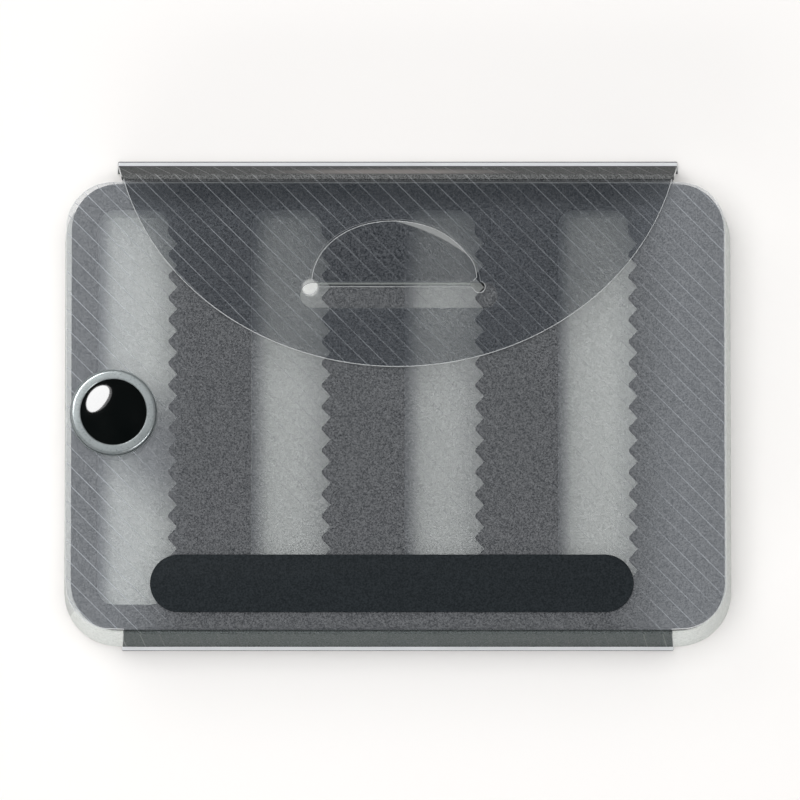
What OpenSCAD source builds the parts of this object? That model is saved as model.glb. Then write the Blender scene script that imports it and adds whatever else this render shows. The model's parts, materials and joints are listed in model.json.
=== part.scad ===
// Pocket fly case: one creased plastic folder wrapped round a foam tray.
// It lies on its back: +X to the right, +Y to the flap's crease, +Z out of the front.
// The origin is under the middle of the foam tray, on the case's flat back.

/* [Foam base] */
// Length of the foam base at its foot
base_l = 90; // [80:1:130]
// Width of the foam base at its foot
base_w = 62.5; // [56:0.5:90]
// Height of the foam base
base_h = 8.4; // [7.4:0.2:14]
// Corner radius of the foam base's foot
base_corner_r = 7.3; // [4:0.1:12]
// How far each side wall leans in on its way up
base_lean = 1; // [0.4:0.1:2]
// Foam left under the troughs
floor_t = 2; // [1.2:0.1:3]
// How far each trough runs on under the pinked edge
trough_undercut = 0.6; // [0.2:0.1:1.2]
// Thickness of the adhesive film under the foam base
adhesive_t = 0.1; // [0.05:0.05:0.3]
// How far the adhesive film stands inside the foam base's foot
adhesive_inset = 3; // [2:0.5:8]

/* [Hook foam] */
// Thickness of the dark hook foam
hook_t = 2.5; // [1.8:0.1:4]
// How far the hook foam stands inside the foam base's rim
hook_inset = 0.1; // [0:0.05:0.4]
// Number of windows in the hook foam
window_count = 4; // [2:1:4]
// Width of each window out to its tooth tips
window_w = 9.5; // [8.6:0.1:10]
// Hook foam between one window's tooth roots and the next window
strip_w = 9.8; // [8:0.1:10]
// Hook foam to the left of the first window
left_border = 3.5; // [2.5:0.1:4.5]
// Hook foam beyond each end of the windows
end_border = 3.2; // [2.5:0.1:6]
// Corner radius of the windows and troughs
window_corner_r = 2.3; // [1:0.1:3]
// Pitch of the pinked teeth
tooth_pitch = 2.96; // [2:0.02:4]
// Depth of the pinked teeth
tooth_depth = 1.35; // [0.8:0.05:1.8]

/* [Folder sheet] */
// Thickness of the folder's plastic sheet
sheet_t = 0.5; // [0.3:0.05:0.7]
// How far the cover and the back panel stand inside the foam base's foot
sheet_inset = 1; // [0.5:0.1:2]
// Corner radius of the cover and the back panel
sheet_corner_r = 6.4; // [4:0.1:10]
// Length of the bottom fold where it meets the cover
bottom_fold_l = 73.6; // [60:0.2:76]
// Length of the top fold where it meets the flap
top_fold_l = 74.2; // [60:0.2:75]
// How much longer each fold is at the back, at either end
fold_flare = 0.4; // [0:0.1:1]
// Gap from the foam base's foot to the bottom fold's back crease
bottom_foot_gap = 0.65; // [0.5:0.05:3]
// Gap from the foam base's rim to the bottom fold's front crease
bottom_rim_gap = 0.6; // [0.5:0.05:2]
// Gap from the foam base's foot to the top fold's back crease
top_foot_gap = 3.65; // [0.8:0.05:6]
// Gap from the foam base's rim to the top fold's front crease
top_rim_gap = 0.55; // [0.45:0.05:2]
// Air between the hook foam and the cover
cover_air = 0.3; // [0.1:0.05:1]
// Air between the cover and the flap that lies over it
flap_air = 0.1; // [0.05:0.05:0.4]
// Free edge of the cover short of the flap's crease
cover_free_gap = 0.5; // [0.3:0.1:2]

/* [Flap and tongue] */
// How far the flap reaches down the cover from its crease
flap_reach = 25.7; // [20:0.1:28]
// How far the flap's oval is centred beyond the crease
flap_oval_offset = 8; // [4:0.5:14]
// Width of the slot in the flap
slot_l = 26.5; // [25:0.1:32]
// Height of the slot in the flap
slot_w = 3.3; // [2.4:0.1:5]
// Gap from the flap's crease to the slot's upper edge
slot_drop = 14.4; // [13:0.1:17]
// Width of the tongue
tongue_l = 22.2; // [18:0.2:22.6]
// Length of the tongue
tongue_reach = 8.9; // [6:0.1:11]
// Clearance between the tongue and the half-moon hole it is cut from
tongue_cut_gap = 0.3; // [0.1:0.05:0.6]
// Clearance between the tongue's riser and the slot's upper edge
riser_gap = 0.3; // [0.15:0.05:0.6]
// Air between the flap and the tongue that lies over it
tongue_air = 0.15; // [0.05:0.05:0.4]
// Radius of the relief hole at each end of the tongue's root
relief_r = 1.05; // [0.6:0.05:1.2]

/* [Label] */
// Length of the pill-shaped label
label_l = 64.9; // [40:0.1:70]
// Height of the pill-shaped label
label_w = 7.8; // [5:0.1:10]
// Thickness of the label
label_t = 0.15; // [0.1:0.05:0.4]
// How far the label's middle sits left of the case's middle
label_shift = 0.8; // [0:0.1:3]
// How far the label's middle sits above the cover's lower crease
label_rise = 6.65; // [6:0.05:12]

/* [Press stud] */
// Gap from the foam base's foot to the middle of the press stud
snap_inset = 6.8; // [6.4:0.1:8]
// How far the press stud sits below the case's middle
snap_drop = 1.1; // [0:0.1:8]
// Outer radius of the metal cap ring
cap_r = 5.9; // [5.6:0.05:6.2]
// Height of the metal cap ring
cap_h = 1.1; // [0.8:0.05:1.4]
// Radius of the black dome
dome_r = 4.5; // [4.3:0.05:4.8]
// Height of the dome's crown above the cap ring
dome_crown = 1.1; // [0.6:0.05:1.4]
// Thickness of the cap ring's seat under the dome
seat_t = 0.3; // [0.2:0.05:0.4]
// Number of prongs on the cap ring
prong_count = 5; // [4:1:6]
// Radius of each prong
prong_r = 0.3; // [0.2:0.05:0.35]
// Outer radius of the socket under the cover
socket_r = 4.5; // [4.3:0.05:4.7]
// Thickness of the socket's flange
socket_flange_t = 0.5; // [0.4:0.05:0.6]
// Height of the whole socket
socket_h = 2.2; // [2:0.05:2.4]
// Outer radius of the socket's barrel
barrel_r = 3.2; // [3.1:0.05:3.3]
// Radius of the stud's round head
stud_head_r = 1.6; // [1.4:0.05:1.7]
// Radius of the stud's neck and post
stud_neck_r = 1.2; // [1.15:0.05:1.3]
// Radius of the stud's foot
stud_foot_r = 4.2; // [3:0.1:4.8]
// Thickness of the stud's foot
stud_foot_t = 0.4; // [0.3:0.05:0.5]
// Radius of the rivet's shank
rivet_r = 0.8; // [0.6:0.05:0.85]
// Radius of the rivet's head
rivet_head_r = 3.5; // [2:0.1:4]
// Thickness of the rivet's head
rivet_head_t = 0.5; // [0.3:0.05:0.8]
// Wire radius of the spring ring in the socket
spring_wire_r = 0.2; // [0.15:0.01:0.22]
// Radial clearance between the stud's head and the socket
snap_clearance = 0.6; // [0.5:0.05:0.7]
// Radius of the foam boss that carries the stud
boss_r = 5.2; // [4.9:0.05:5.4]

/* [Hidden] */

// Clearances shared by the small fits
fit_gap = 0.05;
hole_gap = 0.1;
cut_past = 1;
// Where each hinged sheet starts, measured from its crease
crease_gap = sheet_t / 2 + 2 * hole_gap;
round_fn = 96;
small_fn = 48;
bead_fn = 32;
oval_steps = 72;
moon_steps = 36;
rim_steps = 10;

// Levels up the stack
base_z = sheet_t + adhesive_t;
trough_z = base_z + floor_t;
hook_z = base_z + base_h;
hook_top = hook_z + hook_t;
cover_z = hook_top + cover_air;
cover_top = cover_z + sheet_t;
flap_z = cover_top + flap_air;
flap_top = flap_z + sheet_t;

// Plan sizes of the foam pieces
rim_l = base_l - 2 * base_lean;
rim_w = base_w - 2 * base_lean;
hook_l = rim_l - 2 * hook_inset;
hook_w = rim_w - 2 * hook_inset;
hook_corner_r = base_corner_r - base_lean - hook_inset;
window_l = hook_w - 2 * end_border;
window_pitch = window_w + tooth_depth + strip_w;
first_window_x = left_border - hook_l / 2;
tooth_count = floor((window_l - 2 * window_corner_r) / tooth_pitch);
trough_w = window_w + tooth_depth + trough_undercut;

// Crease lines, each as [y, z]
bottom_back = [-base_w / 2 - bottom_foot_gap, sheet_t / 2];
bottom_front = [-rim_w / 2 - bottom_rim_gap, cover_z + sheet_t / 2];
top_back = [base_w / 2 + top_foot_gap, sheet_t / 2];
top_front = [rim_w / 2 + top_rim_gap, flap_z + sheet_t / 2];
sheet_l = base_l - 2 * sheet_inset;

// The tongue's root and the axis that it lifts about
slot_top_y = top_front[0] - slot_drop;
riser_y = slot_top_y - riser_gap - sheet_t / 2;
tongue_axis_z = flap_top + tongue_air + sheet_t / 2;
root_y = riser_y + sheet_t / 2;

// The press stud's place and levels
snap_x = snap_inset - base_l / 2;
snap_y = -snap_drop;
prong_ring_r = (barrel_r + socket_r) / 2;
socket_z = cover_z - socket_h;
socket_bore_r = stud_head_r + snap_clearance;
groove_r = socket_bore_r + 2 * spring_wire_r;
head_z = socket_z + socket_h / 2;
// The stud's head is a low cap cut from a ball a little wider than itself
head_crown_r = 1.2 * stud_head_r;
head_top = head_z + stud_head_r / 3;
spring_z = head_z - spring_wire_r - fit_gap;
foot_z = socket_z - stud_foot_t - 2 * cover_air;
rivet_top = (foot_z + head_z) / 2;

function oval_point(half_l, half_w, a) = [half_l * cos(a), half_w * sin(a)];

// A flat plate with round corners, centred in plan, standing on z = 0
module round_plate(l, w, r, t) {
    linear_extrude(t) {
        square([l - 2 * r, w], center = true);
        square([l, w - 2 * r], center = true);
        for (x = [-1, 1], y = [-1, 1])
            translate([x * (l / 2 - r), y * (w / 2 - r)]) circle(r, $fn = round_fn);
    }
}

// A strip along X whose section narrows from l at the foot to l - 2 * lean at the top
module leaning_strip(across, along, lean, h) {
    rotate([90, 0, 0])
        linear_extrude(along, center = true)
            polygon([[-across / 2, 0], [across / 2, 0], [across / 2 - lean, h], [lean - across / 2, h]]);
}

// A block with round corners and four walls that lean in
module leaning_block(l, w, r, lean, h) {
    leaning_strip(l, w - 2 * r, lean, h);
    rotate([0, 0, 90]) leaning_strip(w, l - 2 * r, lean, h);
    for (x = [-1, 1], y = [-1, 1])
        translate([x * (l / 2 - r), y * (w / 2 - r), 0])
            cylinder(h = h, r1 = r, r2 = r - lean, $fn = round_fn);
}

// The round edge that a creased sheet turns about
module crease_bead(l) {
    rotate([0, 90, 0]) cylinder(h = l, r = sheet_t / 2, center = true, $fn = bead_fn);
}

// Puts a flat sheet on a crease line, turned up from +Y
module on_crease(line, turn) {
    translate([0, line[0], line[1]]) rotate([turn, 0, 0]) children();
}

// A fold between two crease lines, longer by fold_flare a side at its back
module fold(back, front, front_l) {
    rise = norm(front - back);
    on_crease(back, atan2(front[1] - back[1], front[0] - back[0])) {
        linear_extrude(sheet_t, center = true)
            polygon([[-front_l / 2 - fold_flare, crease_gap], [front_l / 2 + fold_flare, crease_gap],
                [front_l / 2, rise], [-front_l / 2, rise]]);
        translate([0, rise, 0]) crease_bead(front_l);
    }
}

// Half an oval with its straight side on y = 0
module half_moon(half_l, reach) {
    polygon([for (i = [0:moon_steps]) oval_point(half_l, reach, 180 * i / moon_steps)]);
}

// One window's outline, from its straight left edge to its pinked right edge
module window_outline() {
    translate([0, -window_l / 2 + window_corner_r]) square([window_w, window_l - 2 * window_corner_r]);
    translate([window_corner_r, -window_l / 2]) square([window_w - 2 * window_corner_r, window_l]);
    for (x = [window_corner_r, window_w - window_corner_r], y = [-1, 1])
        translate([x, y * (window_l / 2 - window_corner_r)]) circle(window_corner_r, $fn = small_fn);
    for (i = [0:tooth_count - 1])
        translate([window_w, (i - tooth_count / 2) * tooth_pitch])
            polygon([[-fit_gap, 0], [0, 0], [tooth_depth, tooth_pitch / 2], [0, tooth_pitch],
                [-fit_gap, tooth_pitch]]);
}

module trough() {
    translate([trough_w / 2, 0, 0])
        round_plate(trough_w, window_l, window_corner_r, base_h + cut_past);
}

module at_snap(z) {
    translate([snap_x, snap_y, z]) children();
}

module prongs(r, z, h) {
    for (i = [0:prong_count - 1])
        at_snap(z)
            rotate([0, 0, 360 * i / prong_count])
                translate([prong_ring_r, 0, 0]) cylinder(h = h, r = r, $fn = bead_fn);
}

module back_panel() {
    color([0.42, 0.44, 0.46, 0.6]) {
        round_plate(sheet_l, base_w - 2 * sheet_inset, sheet_corner_r, sheet_t);
        translate([-bottom_fold_l / 2 - fold_flare, bottom_back[0], 0])
            cube([bottom_fold_l + 2 * fold_flare, -bottom_back[0], sheet_t]);
        translate([-top_fold_l / 2 - fold_flare, 0, 0])
            cube([top_fold_l + 2 * fold_flare, top_back[0], sheet_t]);
        on_crease(bottom_back, 0) crease_bead(bottom_fold_l + 2 * fold_flare);
        on_crease(top_back, 0) crease_bead(top_fold_l + 2 * fold_flare);
    }
}

module bottom_fold() {
    color([0.45, 0.47, 0.49, 0.6]) fold(bottom_back, bottom_front, bottom_fold_l);
}

module top_fold() {
    color([0.45, 0.47, 0.49, 0.6]) fold(top_back, top_front, top_fold_l);
}

module front_cover() {
    low_y = bottom_front[0] + crease_gap;
    high_y = top_front[0] - cover_free_gap;
    riser_l = tongue_l - 2 * relief_r + 2 * tongue_cut_gap;
    color([0.45, 0.47, 0.49, 0.6]) {
        difference() {
            translate([0, (low_y + high_y) / 2, cover_z])
                round_plate(sheet_l, high_y - low_y, sheet_corner_r, sheet_t);
            translate([0, root_y, cover_z - cut_past])
                linear_extrude(sheet_t + 2 * cut_past)
                    half_moon(tongue_l / 2 + tongue_cut_gap, tongue_reach + tongue_cut_gap);
            for (x = [-1, 1])
                translate([x * (tongue_l / 2 + tongue_cut_gap), root_y, cover_z - cut_past])
                    cylinder(h = sheet_t + 2 * cut_past, r = relief_r, $fn = small_fn);
            prongs(prong_r + hole_gap, cover_z - cut_past, sheet_t + 2 * cut_past);
        }
        translate([-riser_l / 2, riser_y - sheet_t / 2, cover_z])
            cube([riser_l, sheet_t, tongue_axis_z - cover_z]);
        on_crease([riser_y, tongue_axis_z], 0) crease_bead(riser_l);
    }
}

module tongue() {
    color([0.5, 0.52, 0.54, 0.6])
        translate([0, 0, tongue_axis_z - sheet_t / 2])
            linear_extrude(sheet_t)
                difference() {
                    translate([0, root_y]) half_moon(tongue_l / 2, tongue_reach);
                    translate([-tongue_l / 2, riser_y]) square([tongue_l, crease_gap]);
                }
}

module flap() {
    oval_w = flap_reach + flap_oval_offset;
    edge = crease_gap + flap_oval_offset;
    // The oval is as wide as the top fold where it meets the crease
    oval_l = top_fold_l / 2 / sqrt(1 - pow(flap_oval_offset / oval_w, 2));
    start = asin(edge / oval_w);
    color([0.5, 0.52, 0.54, 0.6])
        translate([0, top_front[0] + flap_oval_offset, flap_z])
            linear_extrude(sheet_t)
                difference() {
                    polygon([for (i = [0:oval_steps])
                        oval_point(oval_l, -oval_w, start + (180 - 2 * start) * i / oval_steps)]);
                    translate([0, -flap_oval_offset - slot_drop - slot_w / 2]) {
                        square([slot_l - slot_w, slot_w], center = true);
                        for (x = [-1, 1])
                            translate([x * (slot_l - slot_w) / 2, 0]) circle(d = slot_w, $fn = small_fn);
                    }
                }
}

module adhesive_film() {
    color([0.85, 0.85, 0.8])
        translate([0, 0, sheet_t])
            round_plate(base_l - 2 * adhesive_inset, base_w - 2 * adhesive_inset,
                base_corner_r - adhesive_inset / 2, adhesive_t);
}

module foam_base() {
    color([0.83, 0.85, 0.82])
        difference() {
            union() {
                difference() {
                    translate([0, 0, base_z])
                        leaning_block(base_l, base_w, base_corner_r, base_lean, base_h);
                    for (i = [0:window_count - 1])
                        translate([first_window_x + i * window_pitch, 0, trough_z]) trough();
                }
                at_snap(base_z + rivet_head_t)
                    cylinder(h = foot_z - base_z - rivet_head_t, r = boss_r, $fn = round_fn);
            }
            at_snap(base_z - cut_past)
                cylinder(h = rivet_head_t + cut_past, r = rivet_head_r + hole_gap, $fn = round_fn);
            at_snap(base_z - cut_past)
                cylinder(h = base_h + 2 * cut_past, r = rivet_r + fit_gap, $fn = small_fn);
            // The stud's foot is let into the foam's rim
            at_snap(foot_z) cylinder(h = base_h, r = stud_foot_r + hole_gap, $fn = round_fn);
        }
}

module hook_foam() {
    color([0.2, 0.21, 0.22])
        difference() {
            translate([0, 0, hook_z]) round_plate(hook_l, hook_w, hook_corner_r, hook_t);
            for (i = [0:window_count - 1])
                translate([first_window_x + i * window_pitch, 0, hook_z - cut_past])
                    linear_extrude(hook_t + 2 * cut_past) window_outline();
            at_snap(hook_z - cut_past)
                cylinder(h = hook_t + 2 * cut_past, r = socket_r + hole_gap + cover_air, $fn = round_fn);
        }
}

module label() {
    color([0.15, 0.17, 0.19])
        translate([-label_shift, bottom_front[0] + label_rise, cover_top])
            round_plate(label_l, label_w, label_w / 2 - fit_gap, label_t);
}

module snap_cap_ring() {
    rim_run = cap_r - dome_r;
    rim_rise = cap_h - seat_t;
    seat_bore_r = prong_ring_r - 2 * prong_r;
    color([0.68, 0.71, 0.72]) {
        at_snap(cover_top)
            rotate_extrude($fn = round_fn)
                polygon([[seat_bore_r, 0],
                    for (i = [0:rim_steps])
                        [dome_r, seat_t] + oval_point(rim_run, rim_rise, 90 * i / rim_steps),
                    [dome_r, seat_t],
                    [seat_bore_r, seat_t]]);
        prongs(prong_r, cover_z - socket_flange_t / 2, sheet_t + socket_flange_t / 2 + fit_gap);
    }
}

module snap_dome() {
    // The crown is a part of a ball that meets the dome's straight side
    side_r = dome_r - fit_gap;
    crown_r = (side_r * side_r + dome_crown * dome_crown) / (2 * dome_crown);
    side_top = cap_h - fit_gap;
    color([0.03, 0.03, 0.04])
        at_snap(cover_top + seat_t)
            intersection() {
                cylinder(h = side_top - seat_t + dome_crown, r = side_r, $fn = round_fn);
                translate([0, 0, side_top - seat_t + dome_crown - crown_r])
                    sphere(r = crown_r, $fn = round_fn);
            }
}

module snap_socket() {
    color([0.68, 0.7, 0.7])
        difference() {
            union() {
                at_snap(cover_z - socket_flange_t)
                    cylinder(h = socket_flange_t, r = socket_r, $fn = round_fn);
                at_snap(socket_z) cylinder(h = socket_h, r = barrel_r, $fn = round_fn);
            }
            at_snap(socket_z - cut_past)
                cylinder(h = socket_h - socket_flange_t / 2 + cut_past, r = socket_bore_r, $fn = round_fn);
            at_snap(spring_z - spring_wire_r - fit_gap)
                cylinder(h = 2 * (spring_wire_r + fit_gap), r = groove_r, $fn = round_fn);
            prongs(prong_r + fit_gap, cover_z - socket_flange_t / 2 - fit_gap, socket_flange_t);
        }
}

module snap_spring() {
    spring_turn = 320;
    color([0.75, 0.75, 0.72])
        at_snap(spring_z)
            rotate([0, 0, (360 - spring_turn) / 2])
                rotate_extrude(angle = spring_turn, $fn = round_fn)
                    translate([socket_bore_r + spring_wire_r / 2, 0]) circle(spring_wire_r, $fn = bead_fn);
}

module snap_stud() {
    color([0.7, 0.72, 0.72])
        difference() {
            union() {
                at_snap(foot_z) cylinder(h = stud_foot_t, r = stud_foot_r, $fn = round_fn);
                at_snap(foot_z) cylinder(h = head_z - foot_z, r = stud_neck_r, $fn = small_fn);
                at_snap(head_z)
                    intersection() {
                        cylinder(h = head_top - head_z, r = stud_head_r, $fn = small_fn);
                        translate([0, 0, head_top - head_z - head_crown_r])
                            sphere(r = head_crown_r, $fn = small_fn);
                    }
            }
            at_snap(foot_z - cut_past)
                cylinder(h = rivet_top - foot_z + cut_past, r = rivet_r + fit_gap, $fn = small_fn);
        }
}

module snap_rivet() {
    color([0.66, 0.68, 0.68]) {
        at_snap(base_z) cylinder(h = rivet_head_t, r = rivet_head_r, $fn = round_fn);
        at_snap(base_z) cylinder(h = rivet_top - base_z - fit_gap, r = rivet_r, $fn = small_fn);
    }
}

back_panel();
bottom_fold();
front_cover();
tongue();
top_fold();
flap();
adhesive_film();
foam_base();
hook_foam();
label();
snap_cap_ring();
snap_dome();
snap_socket();
snap_spring();
snap_stud();
snap_rivet();
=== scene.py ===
import json
import math
import bmesh
import bpy
from mathutils import Matrix, Vector


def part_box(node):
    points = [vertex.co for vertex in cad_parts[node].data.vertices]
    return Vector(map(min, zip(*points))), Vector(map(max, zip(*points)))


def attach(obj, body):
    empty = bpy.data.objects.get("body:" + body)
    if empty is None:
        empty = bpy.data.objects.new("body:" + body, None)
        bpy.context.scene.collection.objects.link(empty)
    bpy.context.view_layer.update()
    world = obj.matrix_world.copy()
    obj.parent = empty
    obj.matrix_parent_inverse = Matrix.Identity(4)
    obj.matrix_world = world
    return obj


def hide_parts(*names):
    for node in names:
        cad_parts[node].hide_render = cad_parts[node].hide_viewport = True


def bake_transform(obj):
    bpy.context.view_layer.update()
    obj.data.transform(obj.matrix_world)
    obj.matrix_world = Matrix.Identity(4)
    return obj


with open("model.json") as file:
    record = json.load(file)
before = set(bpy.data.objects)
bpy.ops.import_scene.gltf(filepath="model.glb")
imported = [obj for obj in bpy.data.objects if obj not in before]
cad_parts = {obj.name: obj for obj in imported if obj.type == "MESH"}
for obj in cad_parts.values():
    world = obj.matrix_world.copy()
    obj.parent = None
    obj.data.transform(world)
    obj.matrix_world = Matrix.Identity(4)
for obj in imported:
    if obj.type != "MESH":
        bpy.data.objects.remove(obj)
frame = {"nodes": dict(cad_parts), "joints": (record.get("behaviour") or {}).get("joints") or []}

mm = 0.001
scene = bpy.context.scene
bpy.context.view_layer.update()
hinges = {j["name"]: Vector(j["pos_m"]) / mm for j in frame["joints"]}  # crease lines, in mm


def cadBox(node):
    low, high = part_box(node)
    return low / mm, high / mm


def addNode(tree, kind, inputs=None, **settings):
    node = tree.nodes.new(kind)
    for key, value in settings.items():
        setattr(node, key, value)
    for key, value in (inputs or {}).items():
        if isinstance(value, bpy.types.NodeSocket):
            tree.links.new(value, node.inputs[key])
        else:
            node.inputs[key].default_value = value
    return node


def calc(tree, operation, *values, clamp=False):
    node = addNode(tree, "ShaderNodeMath", operation=operation, use_clamp=clamp)
    for i, value in enumerate(values):
        if isinstance(value, bpy.types.NodeSocket):
            tree.links.new(value, node.inputs[i])
        else:
            node.inputs[i].default_value = value
    return node.outputs[0]


# A ramp from one range of values to another, clamped at both ends
def remap(tree, value, fromMin=0, fromMax=1, toMin=0, toMax=1, smooth=False):
    ends = {"Value": value, "From Min": fromMin, "From Max": fromMax, "To Min": toMin, "To Max": toMax}
    kind = "SMOOTHSTEP" if smooth else "LINEAR"
    return addNode(tree, "ShaderNodeMapRange", ends, interpolation_type=kind).outputs[0]


def vectorCalc(tree, operation, *values):
    outputs = addNode(tree, "ShaderNodeVectorMath", dict(enumerate(values)), operation=operation).outputs
    return outputs["Value" if operation in ("DOT_PRODUCT", "LENGTH") else "Vector"]


def mixColour(tree, factor, a, b, blend="MIX"):
    node = addNode(tree, "ShaderNodeMix", data_type="RGBA", blend_type=blend)
    for socket, value in ((node.inputs[0], factor), (node.inputs[6], a), (node.inputs[7], b)):
        if isinstance(value, bpy.types.NodeSocket):
            tree.links.new(value, socket)
        else:
            socket.default_value = value
    return node.outputs[2]


def newGroup(name, inputs, outputs):
    group = bpy.data.node_groups.new(name, "ShaderNodeTree")
    for label, kind, value in inputs:
        socket = group.interface.new_socket(label, in_out="INPUT", socket_type=kind)
        if value is not None:
            socket.default_value = value
    for label, kind in outputs:
        group.interface.new_socket(label, in_out="OUTPUT", socket_type=kind)
    return group, group.nodes.new("NodeGroupInput").outputs, group.nodes.new("NodeGroupOutput").inputs


def useGroup(tree, group, **values):
    node = addNode(tree, "ShaderNodeGroup", node_tree=group)
    for key, value in values.items():
        if isinstance(value, bpy.types.NodeSocket):
            tree.links.new(value, node.inputs[key])
        else:
            node.inputs[key].default_value = value
    return node.outputs


def newMaterial(name, **settings):
    material = bpy.data.materials.new(name)
    material.use_nodes = True
    tree = material.node_tree
    shader = tree.nodes["Principled BSDF"]
    for key, value in settings.items():
        shader.inputs[key.replace("_", " ")].default_value = value
    return material, tree, shader


def objectPlace(tree):
    return addNode(tree, "ShaderNodeTexCoord").outputs["Object"]


def bumped(tree, shader, height, strength, distance):
    bump = addNode(tree, "ShaderNodeBump", {"Strength": strength, "Distance": distance, "Height": height})
    tree.links.new(bump.outputs["Normal"], shader.inputs["Normal"])


# Fine ruled lines across a sheet, softened and broken up by a slow noise
def makeRuledLines():
    group, given, out = newGroup("ruledLines", [
        ("Place", "NodeSocketVector", None), ("Across", "NodeSocketVector", (1, 1, 0)),
        ("Spacing", "NodeSocketFloat", 1.84 * mm), ("Width", "NodeSocketFloat", 0.07 * mm),
        ("Phase", "NodeSocketFloat", 0.0)],
        [("Mask", "NodeSocketFloat")])
    along = vectorCalc(group, "DOT_PRODUCT", given["Place"], given["Across"])
    far = calc(group, "ADD", calc(group, "MULTIPLY", along, 0.5 ** 0.5), given["Phase"])
    far = calc(group, "PINGPONG", far, calc(group, "MULTIPLY", given["Spacing"], 0.5))
    line = calc(group, "SUBTRACT", 1, calc(group, "DIVIDE", far, given["Width"]), clamp=True)
    worn = addNode(group, "ShaderNodeTexNoise", {"Vector": given["Place"], "Scale": 160, "Detail": 2})
    kept = remap(group, worn.outputs[0], 0.32, 0.62, 0.45, 1)
    group.links.new(calc(group, "MULTIPLY", line, kept), out["Mask"])
    return group


# Sandy speckle of frosted plastic, foam skin, film and metal
def makeFineSpeckle():
    group, given, out = newGroup("fineSpeckle", [
        ("Place", "NodeSocketVector", None), ("Grain", "NodeSocketFloat", 0.15 * mm),
        ("Cloud", "NodeSocketFloat", 6 * mm)],
        [("Speckle", "NodeSocketFloat"), ("Patches", "NodeSocketFloat")])
    fine = addNode(group, "ShaderNodeTexNoise", {"Vector": given["Place"], "Detail": 3, "Roughness": 0.6,
        "Scale": calc(group, "DIVIDE", 0.5, given["Grain"])})
    slow = addNode(group, "ShaderNodeTexNoise", {"Vector": given["Place"], "Detail": 2, "Roughness": 0.5,
        "Scale": calc(group, "DIVIDE", 0.5, given["Cloud"])})
    group.links.new(fine.outputs[0], out["Speckle"])
    group.links.new(slow.outputs[0], out["Patches"])
    return group


# Open cells of a cut foam
def makeFoamCells():
    group, given, out = newGroup("foamCells", [
        ("Place", "NodeSocketVector", None), ("Cell", "NodeSocketFloat", 0.22 * mm)],
        [("Height", "NodeSocketFloat"), ("Pits", "NodeSocketFloat")])
    cells = addNode(group, "ShaderNodeTexVoronoi", {"Vector": given["Place"],
        "Scale": calc(group, "DIVIDE", 1, given["Cell"])})
    rough = addNode(group, "ShaderNodeTexNoise", {"Vector": given["Place"], "Detail": 4,
        "Scale": calc(group, "DIVIDE", 0.4, given["Cell"])})
    height = calc(group, "ADD", calc(group, "MULTIPLY", cells.outputs["Distance"], 0.6), rough.outputs[0])
    group.links.new(height, out["Height"])
    group.links.new(remap(group, height, 0.55, 1.05), out["Pits"])
    return group


# Where a sheet nears the case's two ends, which catch more light
def makeSheetEnds():
    group, given, out = newGroup("sheetEnds", [
        ("Place", "NodeSocketVector", None), ("From", "NodeSocketFloat", 27 * mm),
        ("Full", "NodeSocketFloat", 39 * mm)],
        [("Mask", "NodeSocketFloat")])
    along = addNode(group, "ShaderNodeSeparateXYZ", {"Vector": given["Place"]}).outputs["X"]
    mask = remap(group, calc(group, "ABSOLUTE", along), given["From"], given["Full"], smooth=True)
    group.links.new(mask, out["Mask"])
    return group


# A soft step from 0 to 1 along one direction
def makeFadeAlong():
    group, given, out = newGroup("fadeAlong", [
        ("Place", "NodeSocketVector", None), ("Along", "NodeSocketVector", (1, 0, 0)),
        ("From", "NodeSocketFloat", 0.0), ("Full", "NodeSocketFloat", 10 * mm)],
        [("Mask", "NodeSocketFloat")])
    along = vectorCalc(group, "DOT_PRODUCT", given["Place"], given["Along"])
    group.links.new(remap(group, along, given["From"], given["Full"], smooth=True), out["Mask"])
    return group


# 1 outside an oval and 0 inside it, or the other way round when Edge is below 1
def makeOvalMask():
    group, given, out = newGroup("ovalMask", [
        ("Place", "NodeSocketVector", None), ("Centre", "NodeSocketVector", (0, 0, 0)),
        ("Half", "NodeSocketVector", (1 * mm, 1 * mm, 1 * mm)), ("Edge", "NodeSocketFloat", 1.1)],
        [("Mask", "NodeSocketFloat")])
    off = vectorCalc(group, "SUBTRACT", given["Place"], given["Centre"])
    reach = vectorCalc(group, "LENGTH", vectorCalc(group, "DIVIDE", off, given["Half"]))
    group.links.new(remap(group, reach, 1.0, given["Edge"]), out["Mask"])
    return group


# A painted highlight: the pale crescent where the tongue's rim turns up on its right shoulder
def makeTongueGlint():
    group, given, out = newGroup("tongueGlint", [
        ("Place", "NodeSocketVector", None),
        ("Centre", "NodeSocketVector", (-6.14 * mm, -0.6 * mm, 13.3 * mm)),
        ("Half", "NodeSocketVector", (25.85 * mm, 25.85 * mm, 200 * mm)),
        ("Lowest", "NodeSocketFloat", 19.3 * mm), ("Full", "NodeSocketFloat", 20.6 * mm)],
        [("Mask", "NodeSocketFloat")])
    beyond = useGroup(group, ovalMask, Place=given["Place"], Centre=given["Centre"], Half=given["Half"],
        Edge=1.004)
    above = useGroup(group, fadeAlong, Place=given["Place"], Along=(0, 1, 0), From=given["Lowest"],
        Full=given["Full"])
    group.links.new(calc(group, "MULTIPLY", beyond["Mask"], above["Mask"]), out["Mask"])
    return group


# Sizes in mm: how the painted shade runs off from each trough's left, right and top edges, how far out the
# painted light of the outer troughs begins, and the painted shade round the press stud
shadeLook = {"left": (-0.6, 2.6), "right": (11, 4.5), "rightLight": 0.7, "top": (-0.4, 1.9),
    "outer": (18, 23), "middleLight": 0.88, "outerLight": 1.1, "foamTop": 11.5, "lastX": 36, "halfY": 27.2,
    "studAt": (-32.3, -4.8, 2.6), "studHalf": (8.2, 10, 200), "studEdge": 0.25, "studDepth": 0.75}


def inMetres(sizes):
    return tuple(size * mm for size in sizes)


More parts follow.
